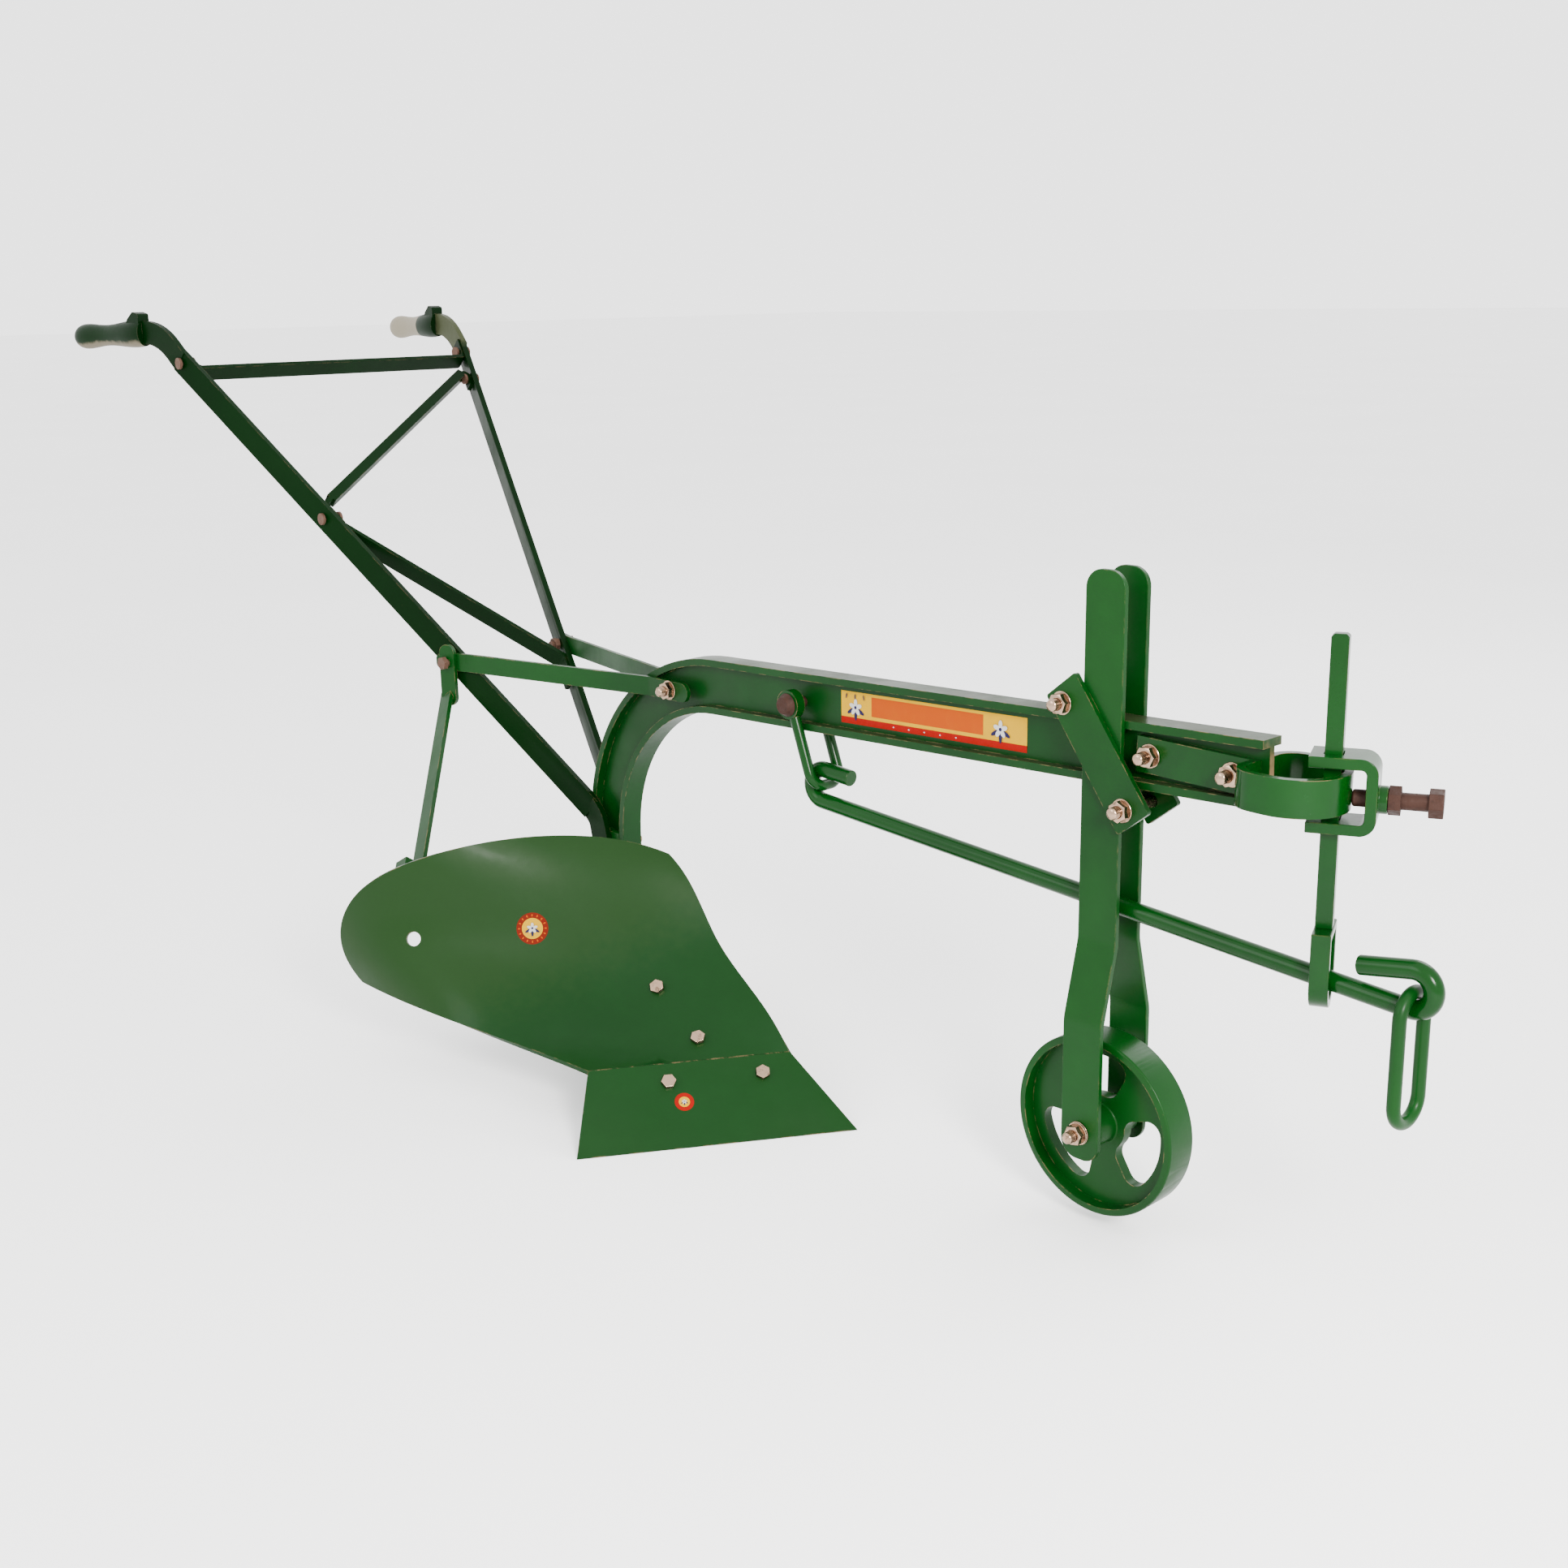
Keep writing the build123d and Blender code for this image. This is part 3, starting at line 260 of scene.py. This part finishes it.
grip_low, grip_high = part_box("left_grip")
collar = Vector(grip_low).lerp(Vector(grip_high), 0.66)
brace_top = Vector(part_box("upper_handle_brace")[1])
beam_end = Vector(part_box("beam")[1]) - Vector((0.0014, 0, 0))
MATERIALS = {
    "green_paint": paint("beam_enamel", (0.0004, 0.028, 0.0018), (0.0004, 0.019, 0.0014), wear=0.9),
    # The beam's top faces get a lighter colour painted on them as painted top light.
    "beam_paint": paint(
        "beam_top_enamel", (0.0004, 0.026, 0.0018), (0.0004, 0.018, 0.0014), wear=0.9,
        painted_top_light=(0.015, 0.022, 0.008), show=beyond("beam", beam_end, (1, 0, 0), 0.0008),
    ),
    "front_paint": paint(
        "front_enamel", (0.0003, 0.027, 0.0017), (0.0003, 0.018, 0.0012), (0.16, 0.30), wear=0.95, gloss=0.13
    ),
    "dark_green_paint": paint("handle_enamel", DARK, DARKER, wear=0.3, gloss=0.035),
    "far_handle": paint(
        "far_handle_enamel", DARK, DARKER, gloss=0.035, worn=(0.034, 0.040, 0.018), wear=0.3,
        show=beyond("left_handle", brace_top + Vector((0, 0, 0.004)), (-0.5, 0, 1), 0.012),
    ),
    "far_grip": paint(
        "far_grip_enamel", DARK, DARKER, gloss=0.05, worn=(0.19, 0.17, 0.125),
        show=beyond("left_grip", collar, (-1, 0, 0)),
    ),
    "near_grip": paint(
        "near_grip_enamel", DARK, DARKER, gloss=0.05, worn=(0.13, 0.11, 0.075), show=worn_underside
    ),
    "bottom_green_paint": paint(
        "bottom_enamel", (0.0004, 0.021, 0.0014), (0.0022, 0.021, 0.0022), (0.34, 0.50),
        wear=0.85, ripple=0.0007,
    ),
    "board_paint": paint(
        "board_enamel", (0.0003, 0.019, 0.0013), (0.0006, 0.020, 0.0015), (0.34, 0.50),
        wear=0.85, ripple=0.0007,
        # The board's upper part gets a lighter tone painted on as painted light, for the light falling from
        # above.
        painted_light=((0.0050, 0.0235, 0.0030), beyond("mouldboard", (0.0, -0.14, 0.16), (-0.55, 0.0, 0.83), 0.05)),
    ),
    "plated_steel": metal(
        "plated_steel", (0.33, 0.225, 0.155), (0.05, 0.024, 0.014), (0.12, 0.32), spots=0.9
    ),
    "worn_steel": metal("worn_steel", (0.24, 0.20, 0.17), (0.09, 0.055, 0.035), (0.3, 0.5)),
    "dull_rivet": metal(
        "dull_rivet", (0.075, 0.040, 0.027), (0.030, 0.015, 0.010), (0.45, 0.7), 0.25, 0.8, 0.0005
    ),
    "rusty_steel": metal(
        "rusty_steel", (0.026, 0.011, 0.0075), (0.012, 0.005, 0.0035), (0.5, 0.75), 0.2, 0.8, 0.0006
    ),
}
PRINT = {
    "yellow": printed("print_yellow", (0.37, 0.205, 0.0001), (0.33, 0.16, 0.0004)),
    "orange": printed("print_orange", (0.26, 0.038, 0.0001), (0.27, 0.052, 0.0003)),
    "red": printed("print_red", (0.19, 0.0018, 0.0004), (0.15, 0.003, 0.001)),
    "brick": printed("print_brick", (0.10, 0.007, 0.002), (0.075, 0.010, 0.004)),
    "white": printed("print_white", (0.34, 0.33, 0.32), (0.26, 0.25, 0.23)),
    "navy": printed("print_navy", (0.012, 0.010, 0.035), (0.02, 0.017, 0.04)),
}
NODE_SLOT = {s["node"]: s["material_slot"] for s in frame["record"]["subparts"]}


# ---------------------------------------------------------------- softened CAD nodes
MERGE = 1e-5  # corners nearer than this are one corner
EDGE_WIDTH = {"plated_steel": 0.0006, "rusty_steel": 0.0008, "bottom_green_paint": 0.0012}
USUAL_EDGE = 0.0010
CURVED = {"mouldboard"}


def soften(node, width):
    """Rounds a node's sharp edges and shades the rest smoothly, flat faces being joined into one first."""
    obj = NODES[node]
    mesh = obj.data
    if "custom_normal" in mesh.attributes:
        mesh.attributes.remove(mesh.attributes["custom_normal"])
    mesh.polygons.foreach_set("use_smooth", [True] * len(mesh.polygons))
    weld = obj.modifiers.new("weld", "WELD")
    weld.merge_threshold = MERGE
    if node not in CURVED:
        flat = obj.modifiers.new("flat", "DECIMATE")
        flat.decimate_type = "DISSOLVE"
        flat.angle_limit = math.radians(0.4)
    bevel = obj.modifiers.new("bevel", "BEVEL")
    bevel.width = width
    bevel.segments = 2
    bevel.limit_method = "ANGLE"
    bevel.angle_limit = math.radians(38)
    bevel.harden_normals = True
    bevel.use_clamp_overlap = True


# Nodes whose finish differs from that of their slot.
FINISH = {
    "beam": "beam_paint",
    "mouldboard": "board_paint",
    "left_handle": "far_handle",
    "left_grip": "far_grip",
    "right_grip": "near_grip",
}
for node in ("hake_strap", "hake_clamp", "hake_bar", "rod_guide", "draw_rod", "shackle"):
    FINISH[node] = "front_paint"
for node, obj in NODES.items():
    slot = NODE_SLOT[node]
    obj.data.materials.clear()
    obj.data.materials.append(MATERIALS[FINISH.get(node, slot)])
    soften(node, EDGE_WIDTH.get(slot, USUAL_EDGE))

BODIES = frame["record"]["behaviour"]["bodies"]
BODY_OF = {node: body for body, group in BODIES.items() for node in group}


# ---------------------------------------------------------------- nuts and threads
def new_object(name, verts, faces, material, sharp_from):
    """A smooth piece with its edges kept sharp past an angle in degrees."""
    mesh = bpy.data.meshes.new(name)
    mesh.from_pydata([tuple(v) for v in verts], [], faces)
    shape = bmesh.new()
    shape.from_mesh(mesh)
    bmesh.ops.recalc_face_normals(shape, faces=shape.faces)
    shape.to_mesh(mesh)
    shape.free()
    mesh.polygons.foreach_set("use_smooth", [True] * len(mesh.polygons))
    mesh.set_sharp_from_angle(angle=math.radians(sharp_from))
    mesh.materials.append(material)
    obj = bpy.data.objects.new(name, mesh)
    bpy.context.scene.collection.objects.link(obj)
    return obj


def islands(node):
    """The separate solids of a node, each as its corners, and its faces' normals and areas."""
    obj = NODES[node]
    turn = obj.matrix_world.to_3x3()
    shape = bmesh.new()
    shape.from_mesh(obj.data)
    bmesh.ops.remove_doubles(shape, verts=shape.verts, dist=MERGE)
    seen, found = set(), []
    for first in shape.verts:
        if first in seen:
            continue
        seen.add(first)
        group = [first]
        for vert in group:
            for edge in vert.link_edges:
                other = edge.other_vert(vert)
                if other not in seen:
                    seen.add(other)
                    group.append(other)
        # The order is fixed, because rounding in a nut's middle can add or take a row of its thread.
        group.reverse()
        faces = dict.fromkeys(face for vert in group for face in vert.link_faces)
        found.append((
            [obj.matrix_world @ vert.co for vert in group],
            [((turn @ face.normal).normalized(), face.calc_area()) for face in faces],
        ))
    shape.free()
    return found


def hex_axis(sides):
    """The direction most of a nut's surface faces: that of its two flat ends."""

    def area_along(side):
        return sum(area for normal, area in sides if abs(normal.dot(side[0])) > 0.9995)

    return max(sides, key=area_along)[0].normalized()


def ring_faces(rings, count, closed):
    """The faces between rings of corners, with the last ring joined to the first when closed."""
    faces = []
    for row in range(rings - (0 if closed else 1)):
        above = (row + 1) % rings
        for k in range(count):
            after = (k + 1) % count
            faces.append((row * count + k, row * count + after, above * count + after, above * count + k))
    return faces


def turned(count, u, v):
    """Unit directions round a circle, each with its angle."""
    angles = [2 * math.pi * k / count for k in range(count)]
    return [(angle, u * math.cos(angle) + v * math.sin(angle)) for angle in angles]


WASHER = 0.0016
WASHER_RIM, WASHER_TOP = 1.28, 1.24  # radii, as shares of half a nut's width across flats
NUT_SIDES = 72
CHAMFER = 0.93  # radius of a nut's flat top, as a share of half its width across flats
THREAD_SIDES = 24
THREAD_DEPTH = 0.00028
FINE_PITCH, COARSE_PITCH = 0.0015, 0.00175
SUNK = 0.0008  # how far inside its nut a thread starts
DOME = 0.42  # height of a bolt's domed end, as a share of its radius
DOME_ANGLES = (8, 20, 32, 44, 56, 68, 80, 88)
SHANK_ROOM = 0.0006  # play round a nut's own bolt, which tells it from the bolts beside it
SHANK_REACH = 0.12
SHORTEST_END = 0.002  # an end that stands out less than this gets no thread


def nut_shape(centre, axis, u, v, half, flat, bore):
    """The rings of one chamfered nut on its washer, outwards from the bore and back."""
    seat, top = -half + 0.0001, -half + WASHER
    rings = [
        (bore + 0.0002, seat), (flat * WASHER_TOP, seat), (flat * WASHER_RIM, seat + 0.0004),
        (flat * WASHER_RIM, top - 0.0004), (flat * WASHER_TOP, top), (flat * 0.96, top),
        ("hexagon", top + 0.0004), ("chamfer", half),
        (flat * CHAMFER, half), (bore + 0.0006, half), (bore + 0.00005, half - 0.0006),
    ]
    verts = []
    for radius, height in rings:
        for angle, out in turned(NUT_SIDES, u, v):
            reach, z = radius, height
            if isinstance(radius, str):
                reach = flat / math.cos(angle % (math.pi / 3) - math.pi / 6)
            if radius == "chamfer":
                z -= (reach - flat * CHAMFER) / 2
            verts.append(centre + out * reach + axis * z)
    return verts, ring_faces(len(rings), NUT_SIDES, True)


def thread_shape(centre, axis, u, v, half, tip, bore):
    """A bolt's threaded end past its nut, with a low dome on it."""
    pitch = COARSE_PITCH if bore > 0.0055 else FINE_PITCH
    root = bore - 0.00005
    length = tip - half + SUNK
    turns = int(length / (pitch / 5)) + 1
    rings = [(length * row / turns, 1.0, THREAD_DEPTH) for row in range(turns + 1)]
    for degrees in DOME_ANGLES:
        lift, narrow = math.sin(math.radians(degrees)), math.cos(math.radians(degrees))
        rings.append((length + DOME * root * lift, narrow, 0.0))
    verts = []
    for z, narrow, depth in rings:
        for angle, out in turned(THREAD_SIDES, u, v):
            phase = (z / pitch - angle / (2 * math.pi)) % 1.0
            radius = (root + depth * (1 - abs(2 * phase - 1))) * narrow
            verts.append(centre + out * radius + axis * (half - SUNK + z))
    faces = ring_faces(len(rings), THREAD_SIDES, False)
    faces.append(tuple(range((len(rings) - 1) * THREAD_SIDES, len(rings) * THREAD_SIDES)))
    return verts, faces


def join(parts):
    """Several shapes as one list of corners and one of faces."""
    verts, faces = [], []
    for more, shapes in parts:
        faces += [tuple(len(verts) + i for i in shape) for shape in shapes]
        verts += more
    return verts, faces


def hex_nuts(nut, bolt):
    """Chamfered nuts on washers in place of a node's, and the threaded, domed ends of their bolts."""
    nuts, threads = [], []
    shanks = [point for points, _ in islands(bolt) for point in points]
    for points, sides in islands(nut):
        axis = hex_axis(sides)
        centre = sum(points, Vector()) / len(points)

        def split(point):
            """A point's height along the nut's axis, and its way out from the axis."""
            height = (point - centre).dot(axis)
            return height, point - centre - axis * height

        heights = [split(p)[0] for p in points]
        half = (max(heights) - min(heights)) / 2
        centre = centre + axis * (max(heights) + min(heights)) / 2
        ways = [split(p)[1] for p in points]
        corner = max(ways, key=lambda way: way.length)
        bore = min(way.length for way in ways)
        shank = [
            height for height, way in map(split, shanks)
            if way.length < bore + SHANK_ROOM and abs(height) < SHANK_REACH
        ]
        low, high = min(shank, default=0.0), max(shank, default=0.0)
        if abs(low) < abs(high):
            axis, high = -axis, -low
        u = corner.normalized()
        v = axis.cross(u)
        flat = corner.length * math.cos(math.radians(30))
        nuts.append(nut_shape(centre, axis, u, v, half, flat, bore))
        if high > half + SHORTEST_END:
            threads.append(thread_shape(centre, axis, u, v, half, high, bore))
    material = MATERIALS[NODE_SLOT[nut]]
    look = new_object(nut + "_look", *join(nuts), material, 35.0)
    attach(look, BODY_OF[nut])
    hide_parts(nut)
    if threads:
        ends = new_object(nut + "_look_threads", *join(threads), material, 60.0)
        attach(ends, BODY_OF[bolt])


for nut, bolt in (
    ("axle_nut", "axle_bolt"),
    ("beam_stay_nut", "beam_stay_bolt"),
    ("clamp_nuts", "clamp_bolts"),
    ("frog_nut", "frog_bolt"),
    ("hake_strap_nuts", "hake_strap_bolts"),
    ("handle_foot_nuts", "handle_foot_bolts"),
    ("landside_nuts", "landside_bolts"),
    ("share_nuts", "share_bolts"),
    ("shackle_pin_nut", "shackle_pin"),
):
    hex_nuts(nut, bolt)


# ---------------------------------------------------------------- printed labels
def surface(node):
    """A ray target for a node, in the scene's frame."""
    obj = NODES[node]
    verts = [obj.matrix_world @ v.co for v in obj.data.vertices]
    return BVHTree.FromPolygons(verts, [tuple(p.vertices) for p in obj.data.polygons])


LIFT, LAYER = 0.00025, 0.00005  # how far a label stands off its surface, and each ink off the last


def lay(tree, origin, u, v, normal, points, lift):
    """Places flat artwork on a surface: each point is sent along the normal and lifted a little."""
    placed = []
    for a, b in points:
        start = origin + u * a + v * b + normal * 0.03
        hit = tree.ray_cast(start, -normal, 0.08)
        base = hit[0] if hit[0] is not None else origin + u * a + v * b
        placed.append(base + normal * lift)
    return placed


def blob(cx, cy, rx, ry, turn=0.0, count=28):
    """An oval's rim and middle, as flat artwork."""
    points = [(cx, cy)]
    for k in range(count):
        a = 2 * math.pi * k / count
        x, y = rx * math.cos(a), ry * math.sin(a)
        across, rise = x * math.cos(turn) - y * math.sin(turn), x * math.sin(turn) + y * math.cos(turn)
        points.append((cx + across, cy + rise))
    return points, [(0, 1 + k, 1 + (k + 1) % count) for k in range(count)]


def band(x0, x1, low, high, count=12):
    """A straight strip of artwork, with its lower and upper edges given as heights."""
    points = [(x0 + (x1 - x0) * k / count, h) for h in (low, high) for k in range(count + 1)]
    return points, [(k, k + 1, count + 2 + k, count + 1 + k) for k in range(count)]


def annulus(inner, outer, count=64):
    """A flat ring of artwork."""
    angles = [2 * math.pi * k / count for k in range(count)]
    points = [(r * math.cos(a), r * math.sin(a)) for r in (inner, outer) for a in angles]
    return points, ring_faces(2, count, False)


def sticker(name, tree, origin, u, v, normal, layers):
    """One printed label made of stacked flat shapes, riding on the frame."""
    verts, faces, inks, slots = [], [], [], []
    for depth, (ink, (points, shapes)) in enumerate(layers):
        start = len(verts)
        verts += lay(tree, origin, u, v, normal, points, LIFT + LAYER * depth)
        if ink not in slots:
            slots.append(ink)
        faces += [tuple(start + i for i in shape) for shape in shapes]
        inks += [slots.index(ink)] * len(shapes)
    mesh = bpy.data.meshes.new(name)
    mesh.from_pydata([tuple(p) for p in verts], [], faces)
    for ink in slots:
        mesh.materials.append(PRINT[ink])
    mesh.polygons.foreach_set("material_index", inks)
    shape = bmesh.new()
    shape.from_mesh(mesh)
    for face in shape.faces:
        if face.normal.dot(normal) < 0:
            face.normal_flip()
    shape.to_mesh(mesh)
    shape.free()
    obj = bpy.data.objects.new(name, mesh)
    bpy.context.scene.collection.objects.link(obj)
    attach(obj, "frame")


def flower(cx, cy, size):
    """A generic flower: five white petals round a dark middle, on three dark leaves."""

    def leaf(degrees, out, length, width):
        a = math.radians(degrees)
        x, y = cx + out * size * math.cos(a), cy + out * size * math.sin(a)
        return blob(x, y, length * size, width * size, a)

    shapes = [("navy", leaf(-150 + 60 * k, 0.9, 0.62, 0.22)) for k in range(3)]
    shapes += [("white", leaf(90 + 72 * k, 0.55, 0.46, 0.27)) for k in range(5)]
    shapes.append(("navy", blob(cx, cy, 0.2 * size, 0.2 * size)))
    return shapes


label_low, label_high = Vector((0.2905, -0.0035, 0.4863)), Vector((0.5618, -0.0035, 0.4946))
along = (label_high - label_low).normalized()
length = (label_high - label_low).length
height, stripe = 0.0372, 0.0075
layers = [
    ("yellow", band(0, length, stripe, height)),
    ("orange", band(length * 0.175, length * 0.78, 0.0115, height * 0.91)),
    ("red", band(0, length, 0.0, stripe)),
]
for k in range(5):
    layers.append(("white", blob(length * (0.30 + 0.085 * k), 0.0037, 0.0011, 0.0008)))
layers += flower(length * 0.085, height * 0.52, 0.0098) + flower(length * 0.87, height * 0.56, 0.0098)
for k in range(3):
    layers.append(("navy", blob(length * (0.035 + 0.05 * k), height * 0.86, 0.0009, 0.0032, -0.2 + 0.2 * k)))
sticker("beam_label", surface("beam"), label_low, along, Vector((0, 0, 1)), Vector((0, -1, 0)), layers)


def round_sticker(name, node, place, normal, radius, ring, marks):
    """A round label: a coloured ring, with marks on it when it has any, round a yellow middle."""
    normal = Vector(normal).normalized()
    u = Vector((-normal.y, normal.x, 0)).normalized()
    v = normal.cross(u)
    inner = radius * (0.66 if marks else 0.58)
    layers = [
        (ring, annulus(inner, radius)),
        ("yellow", annulus(0.0005, inner)),
        ("yellow", blob(0, 0, 0.0008, 0.0008)),
    ]
    for k in range(marks):
        a = 2 * math.pi * k / marks
        r = (inner + radius) / 2
        layers.append(("orange", blob(r * math.cos(a), r * math.sin(a), radius * 0.085, radius * 0.05, a)))
    layers += flower(0, radius * 0.02, radius * (0.34 if marks else 0.28))
    sticker(name, surface(node), Vector(place), u, v, normal, layers)


BOARD_SPOT, BOARD_FACING = (-0.0844, -0.1821, 0.1925), (0.719, -0.637, 0.278)
SHARE_SPOT, SHARE_FACING = (0.187, -0.169, 0.038), (0.45, -0.32, 0.83)
round_sticker("board_label", "mouldboard", BOARD_SPOT, BOARD_FACING, 0.020, "brick", 16)
round_sticker("share_label", "share", SHARE_SPOT, SHARE_FACING, 0.0115, "red", 0)


# ---------------------------------------------------------------- floor, light and camera
floor_size, floor_z = 60.0, cad_low.z - 0.0005
corners = [(x * floor_size, y * floor_size, floor_z) for x, y in ((-1, -1), (1, -1), (1, 1), (-1, 1))]
mesh = bpy.data.meshes.new("floor")
mesh.from_pydata(corners, [], [(0, 1, 2, 3)])
floor = bpy.data.objects.new("floor", mesh)
bpy.context.scene.collection.objects.link(floor)
pale = Nodes("floor_pale")
mottle = pale.mix(pale.ramp(pale.noise(0.9, 3.0), 0.3, 0.7), (0.90, 0.90, 0.90), (0.92, 0.92, 0.92))
pale.link(mottle, pale.shader.inputs["Base Color"])
pale.set(Roughness=0.95, Specular_IOR_Level=0.1)
mesh.materials.append(pale.material)

world = bpy.data.worlds.new("studio")
world.use_nodes = True
sky = world.node_tree.nodes["Background"]
sky.inputs["Color"].default_value = (1.0, 1.0, 1.0, 1.0)
sky.inputs["Strength"].default_value = 2.9
bpy.context.scene.world = world


def area_light(name, place, target, size, watts, colour=(1.0, 1.0, 1.0)):
    data = bpy.data.lights.new(name, "AREA")
    data.shape = "DISK"
    data.size, data.energy, data.color = size, watts, colour
    light = bpy.data.objects.new(name, data)
    light.location = place
    light.rotation_mode = "QUATERNION"
    light.rotation_quaternion = (Vector(target) - Vector(place)).to_track_quat("-Z", "Y")
    bpy.context.scene.collection.objects.link(light)


area_light("key", (2.6, -1.2, 1.5), (0.7, 0.0, 0.3), 0.7, 150.0, (1.0, 0.98, 0.95))
area_light("fill", (-0.6, -3.2, 2.4), (-0.1, 0.0, 0.4), 2.2, 60.0)
area_light("rim", (0.4, 3.0, 2.6), (0.2, 0.0, 0.4), 2.0, 60.0)

# The camera of the photo, solved from it.
CAMERA_PLACE, LENS = (1.7704, -1.4853, 0.9633), 43.18
yaw, pitch, roll = (math.radians(a) for a in (46.8, 14.7, -1.0155))
forward = Vector((-math.sin(yaw) * math.cos(pitch), math.cos(yaw) * math.cos(pitch), -math.sin(pitch)))
level_right = Vector((math.cos(yaw), math.sin(yaw), 0.0))
level_up = level_right.cross(forward)
right = level_right * math.cos(roll) + level_up * math.sin(roll)
up = level_up * math.cos(roll) - level_right * math.sin(roll)
camera_data = bpy.data.cameras.new("camera")
camera_data.sensor_width = 36.0
camera_data.lens = LENS
camera_data.clip_start, camera_data.clip_end = 0.05, 200.0
camera = bpy.data.objects.new("camera", camera_data)
turn = Matrix((right, up, -forward)).transposed().to_4x4()
camera.matrix_world = Matrix.Translation(CAMERA_PLACE) @ turn
bpy.context.scene.collection.objects.link(camera)
bpy.context.scene.camera = camera
